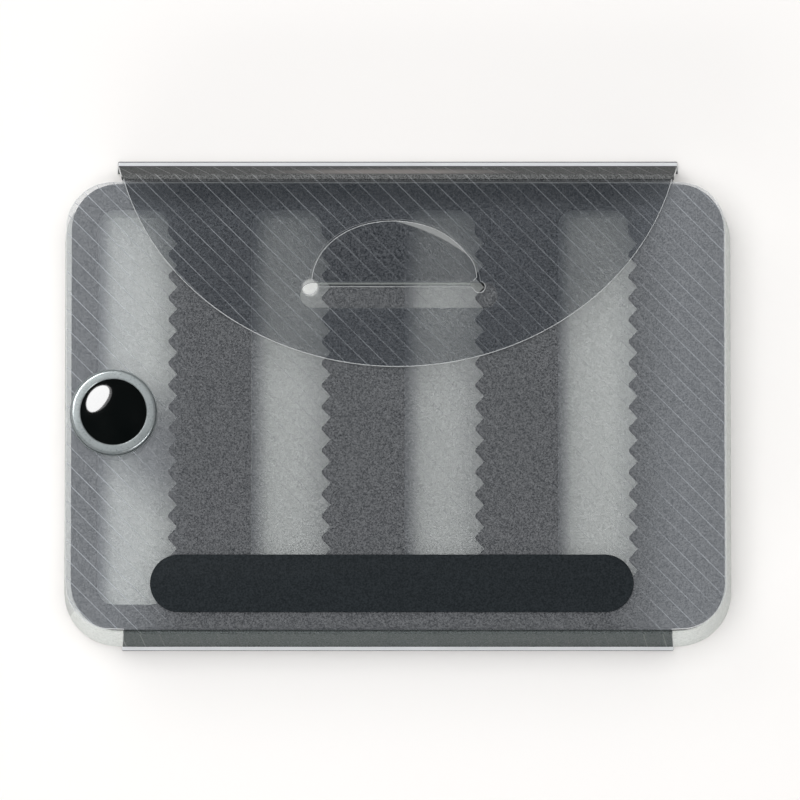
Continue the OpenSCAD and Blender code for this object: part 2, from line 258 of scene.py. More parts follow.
# The shade in the troughs, as far as it shows through the windows: it is deep along their straight left and
# top edges, where Depth counts the drop below the hook foam, and light towards their pinked right edges
def makeTroughShade():
    look = shadeLook
    group, given, out = newGroup("troughShade", [
        ("Place", "NodeSocketVector", None), ("First", "NodeSocketFloat", -40.4 * mm),
        ("Pitch", "NodeSocketFloat", 20.65 * mm), ("Top", "NodeSocketFloat", 26.95 * mm),
        ("Depth", "NodeSocketFloat", 0.14)],
        [("Mask", "NodeSocketFloat")])
    parts = addNode(group, "ShaderNodeSeparateXYZ", {"Vector": given["Place"]}).outputs
    across = calc(group, "SUBTRACT", parts["X"], given["First"])
    across = calc(group, "FLOORED_MODULO", across, given["Pitch"])
    left = remap(group, across, *inMetres(look["left"]), smooth=True)
    right = remap(group, across, *inMetres(look["right"]), look["rightLight"], 1, smooth=True)
    # Painted light: the outer troughs are lighter than the middle ones
    outer = remap(group, calc(group, "ABSOLUTE", parts["X"]), *inMetres(look["outer"]), look["middleLight"],
        look["outerLight"], smooth=True)
    # Painted shade round the press stud
    stud = useGroup(group, ovalMask, Place=given["Place"], Centre=inMetres(look["studAt"]),
        Half=inMetres(look["studHalf"]), Edge=look["studEdge"])["Mask"]
    clear = calc(group, "MULTIPLY", outer, calc(group, "MULTIPLY_ADD", stud, -look["studDepth"], 1))
    below = calc(group, "SUBTRACT", look["foamTop"] * mm, parts["Z"])
    below = calc(group, "MULTIPLY", below, given["Depth"])
    inward = calc(group, "ADD", calc(group, "SUBTRACT", given["Top"], parts["Y"]), below)
    top = remap(group, inward, *inMetres(look["top"]), smooth=True)
    inside = calc(group, "MULTIPLY", calc(group, "LESS_THAN", parts["X"], look["lastX"] * mm),
        calc(group, "LESS_THAN", calc(group, "ABSOLUTE", parts["Y"]), look["halfY"] * mm))
    lit = calc(group, "MULTIPLY", calc(group, "MULTIPLY", left, right), top)
    lit = calc(group, "MULTIPLY", lit, clear)
    group.links.new(calc(group, "MULTIPLY", calc(group, "SUBTRACT", 1, lit), inside), out["Mask"])
    return group


ruledLines = makeRuledLines()
sheetEnds = makeSheetEnds()
fadeAlong = makeFadeAlong()
ovalMask = makeOvalMask()
tongueGlint = makeTongueGlint()
troughShade = makeTroughShade()
fineSpeckle = makeFineSpeckle()
foamCells = makeFoamCells()


# Smoke plastic: veil is how much of the view one face stops, and dark and light are its own grain
# endLift is painted light towards the case's ends, midLines and litLines are the ruled lines' strength,
# litLines strengthening them with painted light on the lit left side, and marks of painted light and shade
# lie on top
def makeSmokeSheet(name, look):
    material, tree, shader = newMaterial(name, Roughness=look["roughness"], IOR=1.49)
    shader.inputs["Specular IOR Level"].default_value = look["shine"]
    place = objectPlace(tree)
    lines = useGroup(tree, ruledLines, Place=place, Across=(1, 1, 0), Phase=look["phase"])["Mask"]
    grain = useGroup(tree, fineSpeckle, Place=place, Grain=look["grain"], Cloud=9 * mm)
    tone = remap(tree, grain["Speckle"], 0.39, 0.61)
    body = mixColour(tree, tone, look["dark"], look["light"])
    ends = useGroup(tree, sheetEnds, Place=place)["Mask"]
    # Painted light: the ruled lines show stronger on the lit left side
    lit = useGroup(tree, fadeAlong, Place=place, Along=(-1, 0, 0), From=look["litFrom"],
        Full=look["litFull"])["Mask"]
    # Painted light: the sheet lightens towards the case's ends
    body = mixColour(tree, ends, body, look["endLift"], blend="ADD")
    strength = calc(tree, "MULTIPLY_ADD", ends, 1 - look["midLines"], look["midLines"])
    strength = calc(tree, "MULTIPLY_ADD", lit, look["litLines"], strength)
    lines = calc(tree, "MULTIPLY", lines, strength)
    edgeOn = addNode(tree, "ShaderNodeLayerWeight", {"Blend": 0.18}).outputs["Facing"]
    veil = calc(tree, "ADD", look["veil"], calc(tree, "MULTIPLY", lines, look["lineVeil"]))
    slanted = calc(tree, "MULTIPLY", calc(tree, "POWER", edgeOn, 2), look["slantVeil"])
    veil = calc(tree, "ADD", veil, slanted, clamp=True)
    # Marks of painted light and shade
    for group, settings, colour, least in look["marks"]:
        mark = useGroup(tree, group, Place=place, **settings)["Mask"]
        body = mixColour(tree, mark, body, colour)
        veil = calc(tree, "MAXIMUM", veil, calc(tree, "MULTIPLY", mark, least))
    lineColour = mixColour(tree, ends, look["lineColour"], look["endLift"], blend="ADD")
    body = mixColour(tree, lines, body, lineColour)
    tree.links.new(body, shader.inputs["Base Color"])
    tree.links.new(veil, shader.inputs["Alpha"])
    bumped(tree, shader, grain["Speckle"], 0.2, 0.02 * mm)
    return material


coverLook = {"roughness": 0.24, "shine": 0.5, "veil": 0.21, "lineVeil": 0.32, "slantVeil": 0.35,
    "grain": 0.1 * mm, "phase": 0.2 * mm, "midLines": 0.33, "litFrom": 32 * mm, "litFull": 39 * mm,
    "litLines": 0.5, "marks": [], "dark": (0.058, 0.066, 0.078, 1), "light": (0.450, 0.464, 0.484, 1),
    "lineColour": (0.30, 0.32, 0.34, 1), "endLift": (0.23, 0.245, 0.265, 1)}
# Painted shade: the flap darkens towards the top fold
flapTopShade = (fadeAlong, {"Along": (0, 1, 0), "From": 25.5 * mm, "Full": 29 * mm}, (0.014, 0.022, 0.032, 1), 0)
flapLook = dict(coverLook, grain=0.12 * mm, veil=0.225, phase=0.92 * mm, midLines=0.75, litFrom=-3 * mm,
    litFull=18 * mm, litLines=0.3, lineVeil=0.2, endLift=(0.04, 0.045, 0.05, 1),
    lineColour=(0.50, 0.53, 0.56, 1), dark=(0, 0.006, 0.016, 1), light=(0.146, 0.163, 0.186, 1),
    marks=[flapTopShade])
# The tongue's mark is the painted highlight of tongueGlint
tongueLook = dict(flapLook, veil=0.27, midLines=0.35, litLines=0.4, dark=(0.015, 0.020, 0.028, 1),
    light=(0.210, 0.222, 0.240, 1), marks=[(tongueGlint, {}, (0.36, 0.37, 0.37, 1), 0.6)])
# A painted soft reflection in the middle of the top fold
warmReflection = (ovalMask, {"Centre": (-0.5 * mm, 32.6 * mm, 6.6 * mm), "Half": (18 * mm, 12 * mm, 3.9 * mm),
    "Edge": 0.35}, (0.34, 0.32, 0.31, 1), 0.7)
bottomFoldLook = dict(coverLook, veil=0.74, shine=0, midLines=0.15, litLines=0.3, lineVeil=0.05,
    endLift=(0, 0, 0, 1), dark=(0.075, 0.088, 0.088, 1), light=(0.180, 0.200, 0.200, 1),
    lineColour=(0.32, 0.34, 0.34, 1))
topFoldLook = dict(bottomFoldLook, phase=0.92 * mm, midLines=0.8, litFrom=-3 * mm, litFull=18 * mm,
    dark=(0.085, 0.088, 0.088, 1), light=(0.220, 0.225, 0.225, 1), lineColour=(0.45, 0.46, 0.47, 1),
    marks=[warmReflection])

smokeCover = makeSmokeSheet("smokeCover", coverLook)
smokeBottomFold = makeSmokeSheet("smokeBottomFold", bottomFoldLook)
smokeTopFold = makeSmokeSheet("smokeTopFold", topFoldLook)
smokeFlap = makeSmokeSheet("smokeFlap", flapLook)
smokeTongue = makeSmokeSheet("smokeTongue", tongueLook)


# The die-cut edges, pale from the cut plastic and from a painted highlight along the cut, a painted
# highlight on the rounded back creases, and dark scores
def makePaleSheet(name, pale, alpha, roughness):
    material, tree, shader = newMaterial(name, Roughness=roughness, IOR=1.49, Alpha=alpha)
    grain = useGroup(tree, fineSpeckle, Place=objectPlace(tree), Grain=0.3 * mm, Cloud=4 * mm)
    colour = mixColour(tree, grain["Patches"], tuple(0.82 * c for c in pale[:3]) + (1,), pale)
    tree.links.new(colour, shader.inputs["Base Color"])
    bumped(tree, shader, grain["Speckle"], 0.2, 0.02 * mm)
    return material


cutEdge = makePaleSheet("cutEdge", (0.93, 0.95, 0.96, 1), 0.8, 0.25)
dullEdge = makePaleSheet("dullEdge", (0.20, 0.215, 0.23, 1), 0.4, 0.25)
creaseHighlight = makePaleSheet("creaseHighlight", (0.95, 0.97, 1.0, 1), 0.93, 0.28)
scoreLine = makePaleSheet("scoreLine", (0.05, 0.06, 0.062, 1), 0.3, 0.4)
faintScore = makePaleSheet("faintScore", (0.05, 0.06, 0.062, 1), 0.12, 0.4)
lipRim = makePaleSheet("lipRim", (0.06, 0.065, 0.07, 1), 0.9, 0.4)
clearBend = makePaleSheet("clearBend", (0.25, 0.27, 0.29, 1), 0.2, 0.3)
# bendHighlight is a painted highlight along the crest of the tongue's bend
bendHighlight = makePaleSheet("bendHighlight", (0.42, 0.45, 0.43, 1), 0.6, 0.3)


def makeFoam(name, look):
    material, tree, shader = newMaterial(name, Roughness=look["roughness"])
    shader.inputs["Specular IOR Level"].default_value = look["shine"]
    place = objectPlace(tree)
    cells = useGroup(tree, foamCells, Place=place, Cell=look["cell"])
    clouds = useGroup(tree, fineSpeckle, Place=place, Grain=look["cell"] * 0.8, Cloud=5 * mm)
    body = mixColour(tree, cells["Pits"], look["pit"], look["skin"])
    body = mixColour(tree, calc(tree, "MULTIPLY", clouds["Patches"], 0.35), body, look["patch"])
    # Painted shade on the trough floors, and a painted glow under the tongue's left relief hole
    if "shade" in look:
        mask = useGroup(tree, troughShade, Place=place)["Mask"]
        body = mixColour(tree, mask, body, look["shade"])
        spot = useGroup(tree, ovalMask, Place=place, Centre=look["spotAt"], Half=look["spotHalf"],
            Edge=0.8)["Mask"]
        glow = mixColour(tree, spot, (0, 0, 0, 1), look["spotGlow"])
        tree.links.new(glow, shader.inputs["Emission Color"])
        shader.inputs["Emission Strength"].default_value = 1
    tree.links.new(body, shader.inputs["Base Color"])
    bumped(tree, shader, cells["Height"], look["bump"], look["cell"] * 0.5)
    return material


# The spot is painted light: a small glow of emission on the trough floor under the tongue's left relief
# hole, and shade is the colour of the painted shade in the troughs
paleFoamLook = {"roughness": 0.85, "shine": 0.25, "cell": 0.2 * mm, "bump": 0.35,
    "pit": (0.70, 0.73, 0.70, 1), "skin": (0.95, 0.98, 0.95, 1), "patch": (0.85, 0.88, 0.86, 1),
    "shade": (0.17, 0.18, 0.20, 1),
    "spotAt": (-11.83 * mm, 17.35 * mm, 2.6 * mm), "spotHalf": (1.2 * mm, 1.3 * mm, 1 * mm),
    "spotGlow": (0.42, 0.42, 0.41, 1)}
darkFoamLook = {"roughness": 0.9, "shine": 0.2, "cell": 0.2 * mm, "bump": 0.3,
    "pit": (0.037, 0.038, 0.039, 1), "skin": (0.050, 0.052, 0.054, 1), "patch": (0.038, 0.040, 0.042, 1)}
paleFoam = makeFoam("paleFoam", paleFoamLook)
darkFoam = makeFoam("darkFoam", darkFoamLook)

labelFilmLook = {"roughness": 0.3, "shine": 0.04, "dark": (0.012, 0.015, 0.017, 1),
    "light": (0.026, 0.031, 0.035, 1)}


def makeLabelFilm():
    look = labelFilmLook
    material, tree, shader = newMaterial("labelFilm", Roughness=look["roughness"])
    shader.inputs["Specular IOR Level"].default_value = look["shine"]
    grain = useGroup(tree, fineSpeckle, Place=objectPlace(tree), Grain=0.11 * mm, Cloud=8 * mm)
    tone = remap(tree, grain["Speckle"], 0.35, 0.65)
    tree.links.new(mixColour(tree, tone, look["dark"], look["light"]), shader.inputs["Base Color"])
    bumped(tree, shader, grain["Speckle"], 0.3, 0.015 * mm)
    return material


def makeSatinMetal(name, look):
    material, tree, shader = newMaterial(name, Metallic=look["metal"])
    grain = useGroup(tree, fineSpeckle, Place=objectPlace(tree), Grain=0.12 * mm, Cloud=2.5 * mm)
    colour = mixColour(tree, grain["Patches"], look["dark"], look["pale"])
    tree.links.new(colour, shader.inputs["Base Color"])
    tree.links.new(remap(tree, grain["Speckle"], 0, 1, *look["roughness"]), shader.inputs["Roughness"])
    bumped(tree, shader, grain["Speckle"], 0.35, 0.02 * mm)
    return material


blackGlossLook = {"dark": (0.002, 0.003, 0.003, 1), "pale": (0.006, 0.007, 0.007, 1),
    "roughness": (0.03, 0.09)}


def makeBlackGloss():
    look = blackGlossLook
    material, tree, shader = newMaterial("blackGloss", IOR=1.5)
    grain = useGroup(tree, fineSpeckle, Place=objectPlace(tree), Grain=0.1 * mm, Cloud=1.6 * mm)
    colour = mixColour(tree, grain["Patches"], look["dark"], look["pale"])
    tree.links.new(colour, shader.inputs["Base Color"])
    tree.links.new(remap(tree, grain["Patches"], 0, 1, *look["roughness"]), shader.inputs["Roughness"])
    return material


labelFilm = makeLabelFilm()
satinMetal = makeSatinMetal("satinMetal", {"pale": (0.35, 0.385, 0.39, 1), "dark": (0.17, 0.19, 0.195, 1),
    "roughness": (0.2, 0.38), "metal": 0.3})
innerMetal = makeSatinMetal("innerMetal", {"pale": (0.62, 0.62, 0.58, 1), "dark": (0.45, 0.45, 0.42, 1),
    "roughness": (0.26, 0.44), "metal": 0.8})
blackGloss = makeBlackGloss()
glueFilm = makePaleSheet("glueFilm", (0.70, 0.68, 0.60, 1), 0.7, 0.5)
print("materials made")


# Shapes are built in mm, and finishSheet turns them into metres
def addPiece(name, mesh, *materials):
    for material in materials:
        mesh.materials.append(material)
    piece = bpy.data.objects.new(name, mesh)
    scene.collection.objects.link(piece)
    return piece


def arcPoints(x, y, r, fromDeg, toDeg, steps=12):
    turns = [math.radians(fromDeg + (toDeg - fromDeg) * i / steps) for i in range(steps + 1)]
    return [(x + r * math.cos(a), y + r * math.sin(a)) for a in turns]


def roundBox(x0, y0, x1, y1, r, steps=14):
    return (arcPoints(x1 - r, y1 - r, r, 0, 90, steps) + arcPoints(x0 + r, y1 - r, r, 90, 180, steps)
        + arcPoints(x0 + r, y0 + r, r, 180, 270, steps) + arcPoints(x1 - r, y0 + r, r, 270, 360, steps))


# A flat sheet cut to outlines (holes inside the first one), with softly rounded cut edges, centred on z = 0
def cutSheet(name, outlines, thick, soft):
    curve = bpy.data.curves.new(name, "CURVE")
    curve.dimensions = "2D"
    curve.fill_mode = "BOTH"
    for points in outlines:
        spline = curve.splines.new("POLY")
        spline.points.add(len(points) - 1)
        spline.points.foreach_set("co", [c for x, y in points for c in (x, y, 0, 1)])
        spline.use_cyclic_u = True
    curve.extrude = thick / 2 - soft
    curve.bevel_depth = soft
    curve.bevel_resolution = 2
    curve.offset = -soft
    maker = bpy.data.objects.new(name, curve)
    scene.collection.objects.link(maker)
    bpy.context.view_layer.update()
    shape = bpy.data.meshes.new_from_object(maker.evaluated_get(bpy.context.evaluated_depsgraph_get()))
    bpy.data.objects.remove(maker)
    bpy.data.curves.remove(curve)
    sheet = bmesh.new()
    sheet.from_mesh(shape)
    bpy.data.meshes.remove(shape)
    bmesh.ops.remove_doubles(sheet, verts=sheet.verts, dist=0.002)
    bmesh.ops.recalc_face_normals(sheet, faces=sheet.faces)
    # Side faces take the cut edges' material, pale partly as a painted highlight
    for face in sheet.faces:
        face.material_index = 0 if abs(face.normal.z) > 0.9 else 1
    return sheet


# Cuts a flat sheet off square at y = place, keeping the side that keep points to, and closes the cut
def squareEnd(sheet, place, keep, slot=0):
    cut = bmesh.ops.bisect_plane(sheet, geom=sheet.verts[:] + sheet.edges[:] + sheet.faces[:],
        plane_co=(0, place, 0), plane_no=(0, keep, 0), clear_inner=True, dist=0.0001)
    rim = [e for e in cut["geom_cut"] if isinstance(e, bmesh.types.BMEdge)]
    for face in bmesh.ops.holes_fill(sheet, edges=rim, sides=0)["faces"]:
        face.material_index = slot


# Bends a flat sheet along a path of stations (s, y, z, dip); beyond both ends the sheet runs on straight
# The dip presses into the outer side, which is +z of the flat sheet when outer is 1
def bendSheet(sheet, stations, outer=1, creased=100):
    for s, *rest in stations:
        bmesh.ops.bisect_plane(sheet, geom=sheet.verts[:] + sheet.edges[:] + sheet.faces[:],
            plane_co=(0, s, 0), plane_no=(0, 1, 0), dist=0.0001)
    spots = [Vector((y, z)) for s, y, z, dip in stations]
    legs = [(b - a).normalized() for a, b in zip(spots, spots[1:])]
    legs = [legs[0]] + legs + [legs[-1]]
    ups = []
    for before, after in zip(legs, legs[1:]):
        middle = (before + after).normalized()
        ups.append(Vector((-middle.y, middle.x)) / max(0.5, middle.dot(before)))
    for vert in sheet.verts:
        x, s, n = vert.co
        if s <= stations[0][0]:
            spot, up, dip = spots[0] + legs[0] * (s - stations[0][0]), ups[0], stations[0][3]
        elif s >= stations[-1][0]:
            spot, up, dip = spots[-1] + legs[-1] * (s - stations[-1][0]), ups[-1], stations[-1][3]
        else:
            i = max(k for k in range(len(stations) - 1) if stations[k][0] <= s)
            part = (s - stations[i][0]) / (stations[i + 1][0] - stations[i][0])
            spot, up = spots[i].lerp(spots[i + 1], part), ups[i].lerp(ups[i + 1], part)
            dip = stations[i][3] + (stations[i + 1][3] - stations[i][3]) * part
        dip = dip if abs(x) < creased else 0
        spot = spot + up * (n - outer * (dip if n * outer > 0 else dip * 0.3))
        vert.co = (x, spot.x, spot.y)


def finishSheet(name, sheet, *materials):
    bmesh.ops.recalc_face_normals(sheet, faces=sheet.faces)
    bmesh.ops.scale(sheet, vec=(mm, mm, mm), verts=sheet.verts)
    mesh = bpy.data.meshes.new(name)
    sheet.to_mesh(mesh)
    sheet.free()
    mesh.shade_smooth()
    mesh.set_sharp_from_angle(angle=math.radians(28))
    return addPiece(name, mesh, *materials)


# Stations for a scored crease at line: a narrow facet between two score lines, one on each leg
# Each score is twice half wide
def scoredCrease(line, back, front, reaches, dips, half=0.07):
    corners = [line + back * reaches[0], line + front * reaches[1]]
    facet = (corners[1] - corners[0]).normalized()
    spots = [(-reaches[0] - half, corners[0] + back * half, 0), (-reaches[0], corners[0], dips[0]),
        (half - reaches[0], corners[0] + facet * half, 0),
        (reaches[1] - half, corners[1] - facet * half, 0),
        (reaches[1], corners[1], dips[1]), (reaches[1] + half, corners[1] + front * half, 0)]
    return [(s, spot.x, spot.y, d) for s, spot, d in spots]


# Stations along a line of straight legs whose inner corners are rounded; s is 0 at the first corner
def roundedPath(points, radii, steps=7):
    stations, reached = [], 0
    for k, radius in enumerate(radii):
        before, corner, after = points[k:k + 3]
        into, out = (corner - before).normalized(), (after - corner).normalized()
        reached += (corner - before).length if k else 0
        turn = math.acos(max(-1, min(1, into.dot(out))))
        reach = radius * math.tan(turn / 2)
        for i in range(steps + 1):
            t = 2 * i / steps - 1
            spot = (corner + into * reach * t) if t < 0 else (corner + out * reach * t)
            bulge = (out - into) * reach * (1 - abs(t)) ** 2 / 4
            spot = spot + bulge
            stations.append((reached + reach * t, spot.x, spot.y, 0))
    return stations


# Splits the flat sheet at each place, so that bands of it can have their own material
def splitAcross(sheet, places):
    for place in places:
        bmesh.ops.bisect_plane(sheet, geom=sheet.verts[:] + sheet.edges[:] + sheet.faces[:],
            plane_co=(0, place, 0), plane_no=(0, 1, 0), dist=0.0001)


# Gives a band its own material, on the outer side's face and the edges, or all round when outer is 0
def paintBand(sheet, low, high, slot, outer, creased=100):
    for face in sheet.faces:
        spot = face.calc_center_median()
        if low < spot.y < high and face.normal.z * outer > -0.9 and abs(spot.x) < creased:
            face.material_index = slot


def lathe(name, profile, centre, segments, *materials):
    shape = bmesh.new()
    rings = []
    for r, z in profile:
        count = 1 if r < 1e-6 else segments
        rings.append([shape.verts.new((centre.x + r * math.cos(2 * math.pi * i / segments),
            centre.y + r * math.sin(2 * math.pi * i / segments), z)) for i in range(count)])
    for low, high in zip(rings, rings[1:]):
        for i in range(segments):
            j = (i + 1) % segments
            corners = [low[i % len(low)], low[j % len(low)], high[j % len(high)], high[i % len(high)]]
            corners = [v for k, v in enumerate(corners) if v not in corners[:k]]
            if len(corners) > 2:
                shape.faces.new(corners)
    return finishSheet(name, shape, *materials)


# The folder is cut flat and then creased
# Each part is cut with some sheet to spare past its creases
# The parts meet joinBack inside the back creases and joinFold below the front ones
sheetLook = {"thick": 0.5, "soft": 0.14, "joinBack": 1.6, "joinFold": 0.9, "spare": 4}
thick, soft, spare = sheetLook["thick"], sheetLook["soft"], sheetLook["spare"]

bottomBack = Vector(hinges["bottom_fold_hinge"].yz)
topBack = Vector(hinges["top_fold_hinge"].yz)
# A back crease's lip starts in from its hinge line, leans out and rises
# The bands rim, white and line are painted up from its foot, the white one a painted highlight, and shade
# down from the front crease
bottomLip = {"in": 0.24, "out": 0.6, "rise": 0.8, "radii": (0.12, 0.3), "below": 0.3, "rim": 0.15,
    "white": 0.65, "line": 0, "longer": 0, "flare": 0.4, "shade": (2.5, 2.9)}
topLip = dict(bottomLip, out=0.95, rise=0.95, rim=0.3, white=0.76, line=0.25, longer=0.4, flare=0.75,
    shade=(0.9, 2.3))
topLip["in"] = 0.1
# The front creases: the folded sheet's middle runs a little inside each hinge line
bottomCrease = {"shift": 0.2, "reaches": (0.2, 0.15), "dips": (0.06, 0.06)}
topCrease = {"shift": 0.25, "reaches": (0.3, 0.58), "dips": (0.06, 0)}
bottomFront = Vector(hinges["cover_hinge"].yz) + Vector((bottomCrease["shift"], 0))
topFront = Vector(hinges["flap_hinge"].yz) + Vector((topCrease["shift"], 0))
bottomHalf = cadBox("bottom_fold")[1].x + bottomLip["longer"]  # half the fold's length at the back
topHalf = cadBox("top_fold")[1].x + topLip["longer"]


# Each back crease stands out as a lip; above it the fold runs straight up to the front crease
def lipFoot(line, lip, inward):
    return line + Vector((inward * lip["in"], 0))


def lipTop(line, lip, inward):
    return lipFoot(line, lip, inward) + Vector((inward * lip["out"], lip["rise"]))


bottomLeg = (bottomFront - lipTop(bottomBack, bottomLip, 1)).normalized()
topLeg = (topFront - lipTop(topBack, topLip, -1)).normalized()


def trapezoid(halfBack, halfFront, s0, s1, over):
    slope = (halfFront - halfBack) / (s1 - s0)
    back, front = halfBack - slope * over, halfFront + slope * over
    return [(-back, s0 - over), (back, s0 - over), (front, s1 + over), (-front, s1 + over)]


# A fold with its back crease: developed from the back panel (s < 0) up to just short of the front crease
def makeFold(name, line, lip, front, halfBack, inward, smoke, node):
    foot, knee = lipFoot(line, lip, inward), lipTop(line, lip, inward)
    length = (knee - foot).length + (front - knee).length
    outline = trapezoid(halfBack, halfBack - lip["flare"], 0, length, spare)
    sheet = cutSheet(name, [outline], thick, soft)
    squareEnd(sheet, lip["in"] - sheetLook["joinBack"], 1)
    squareEnd(sheet, length - sheetLook["joinFold"], -1, 4)
    outer = 1 if inward > 0 else -1
    bands = [-lip["below"], lip["rim"], lip["rim"] + lip["white"], lip["rim"] + lip["white"] + lip["line"]]
    splitAcross(sheet, bands)
    # Slot 2, the white band, is a painted highlight on the lip
    for low, high, slot in zip(bands, bands[1:], (3, 2, 3)):
        paintBand(sheet, low, high, slot, outer)
    shadeHigh, shadeLow = (length - down for down in lip["shade"])
    splitAcross(sheet, [shadeLow] + ([shadeHigh] if lip["shade"][0] > sheetLook["joinFold"] else []))
    paintBand(sheet, shadeLow, shadeHigh, 3, outer)
    path = roundedPath([line + Vector((inward * 3, 0)), foot, knee, front], lip["radii"])
    bendSheet(sheet, path, outer)
    piece = finishSheet(name, sheet, smoke, cutEdge, creaseHighlight, lipRim, scoreLine)
    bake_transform(piece)
    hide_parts(node)


makeFold("bottomFold", bottomBack, bottomLip, bottomFront, bottomHalf, 1, smokeBottomFold, "bottom_fold")
makeFold("topFold", topBack, topLip, topFront, topHalf, -1, smokeTopFold, "top_fold")


backPanelCut = {"inset": 1.0, "cornerR": 6.4, "tabTaper": 0.8, "spare": 2}


# A rounded panel with a straight tab at each crease
def makeBackPanel():
    c = backPanelCut
    high = cadBox("foam_base")[1]
    x1, y1, r = high.x - c["inset"], high.y - c["inset"], c["cornerR"]
    yLow, yHigh = bottomBack.x - c["spare"], topBack.x + c["spare"]
    outline = [(-bottomHalf, yLow), (bottomHalf, yLow), (bottomHalf, -y1)]
    outline += arcPoints(x1 - r, -y1 + r, r, 270, 360)[1:] + arcPoints(x1 - r, y1 - r, r, 0, 90)
    outline += [(topHalf - c["tabTaper"], y1), (topHalf, yHigh)]
    outline += [(-topHalf, yHigh), (c["tabTaper"] - topHalf, y1)]
    outline += arcPoints(-x1 + r, y1 - r, r, 90, 180) + arcPoints(-x1 + r, -y1 + r, r, 180, 270)
    outline += [(-bottomHalf, -y1)]
    sheet = cutSheet("backPanel", [outline], thick, soft)
    squareEnd(sheet, bottomBack.x + sheetLook["joinBack"], 1)
    squareEnd(sheet, topBack.x - sheetLook["joinBack"], -1)
    bmesh.ops.translate(sheet, vec=(0, 0, thick / 2), verts=sheet.verts)
    piece = finishSheet("backPanel", sheet, smokeCover, cutEdge)
    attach(piece, "tray")
    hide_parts("back_panel")


makeBackPanel()

# The moon-shaped hole and the neck of the tongue cut out of it; a square of 2 is a true oval
latchCut = {"centreX": -0.48, "moonHalf": 11.45, "moonReach": 9.1, "reliefLeft": 1.0, "reliefRight": 0.75,
    "reliefY": 16.05, "rootY": 16.1, "neckY": 16.12, "neckHalf": 10.3, "squareLeft": 2.1,
    "squareRight": 2.0, "squareCorner": 2.6, "cornerDeg": 30}
coverCut = {"left": -44.6, "right": 44.1, "cornerR": 6.2, "aboveCrease": 0.25, "notch": 0.1}


# Half an oval from the right round to the left, squarer on its left side and in its low right corner
def halfMoon(half, reach, first, last, steps):
    points, c = [], latchCut
    for i in range(steps + 1):
        turn = first + (last - first) * i / steps
        corner = max(0, 1 - turn / c["cornerDeg"]) * (c["squareCorner"] - c["squareRight"])
        power = 2 / (c["squareLeft"] if turn > 90 else c["squareRight"] + corner)
        a = math.radians(turn)
        x, y = math.copysign(abs(math.cos(a)) ** power, math.cos(a)), math.sin(a) ** power
        points.append((c["centreX"] + half * x, c["rootY"] + reach * y))
    return points


# The half-moon hole, with the relief holes at its ends and a notch for the tongue's neck
def moonHole():
    c = latchCut
    left, right = c["centreX"] - c["moonHalf"], c["centreX"] + c["moonHalf"]
    rightHole = arcPoints(right, c["reliefY"], c["reliefRight"], 200, 440, 18)
    leftHole = arcPoints(left, c["reliefY"], c["reliefLeft"], 100, 340, 18)
    neck = [(c["centreX"] - c["neckHalf"], c["neckY"]), (c["centreX"] + c["neckHalf"], c["neckY"])]
    return rightHole + halfMoon(c["moonHalf"], c["moonReach"], 9, 171, 44) + leftHole + neck


def makeFrontCover():
    c, line, y1 = coverCut, bottomFront, cadBox("front_cover")[1].y
    halfFront = bottomHalf - bottomLip["flare"]
    r, x0, x1, yLow = c["cornerR"], c["left"], c["right"], line.x + c["aboveCrease"]
    outline = [(-halfFront - c["notch"], line.x - spare), (halfFront + c["notch"], line.x - spare)]
    outline += [(halfFront, yLow)] + arcPoints(x1 - r, yLow + r, r, 270, 360)[1:]
    outline += arcPoints(x1 - r, y1 - r, r, 0, 90) + arcPoints(x0 + r, y1 - r, r, 90, 180)
    outline += arcPoints(x0 + r, yLow + r, r, 180, 270)[:-1] + [(-halfFront, yLow)]
    outline = [(x, y - line.x) for x, y in outline]
    hole = [(x, y - line.x) for x, y in moonHole()]
    sheet = cutSheet("frontCover", [outline, hole], thick, soft)
    squareEnd(sheet, -sheetLook["joinFold"], 1, 4)
    path = scoredCrease(line, -bottomLeg, Vector((1, 0)), bottomCrease["reaches"], bottomCrease["dips"])
    splitAcross(sheet, [station[0] for station in path])
    for place in (-halfFront, halfFront):
        bmesh.ops.bisect_plane(sheet, geom=sheet.verts[:] + sheet.edges[:] + sheet.faces[:],
            plane_co=(place, 0, 0), plane_no=(1, 0, 0), dist=0.0001)
    paintBand(sheet, -spare, path[3][0], 3, 0)
    paintBand(sheet, path[3][0], path[5][0], 2, 1, halfFront)
    bendSheet(sheet, path, creased=halfFront + 0.01)
    piece = finishSheet("frontCover", sheet, smokeCover, cutEdge, faintScore, smokeBottomFold, scoreLine)
    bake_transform(piece)
    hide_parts("front_cover")


makeFrontCover()

flapCut = {"ovalX": 38.1, "ovalY": 33.7, "ovalCentre": 38.8, "rimSteps": 90, "notch": 0.1, "slotX": 0.1,
    "slotHalf": 13.25, "slotR": 1.69, "slotY": 14.81, "slotRim": 0.3}


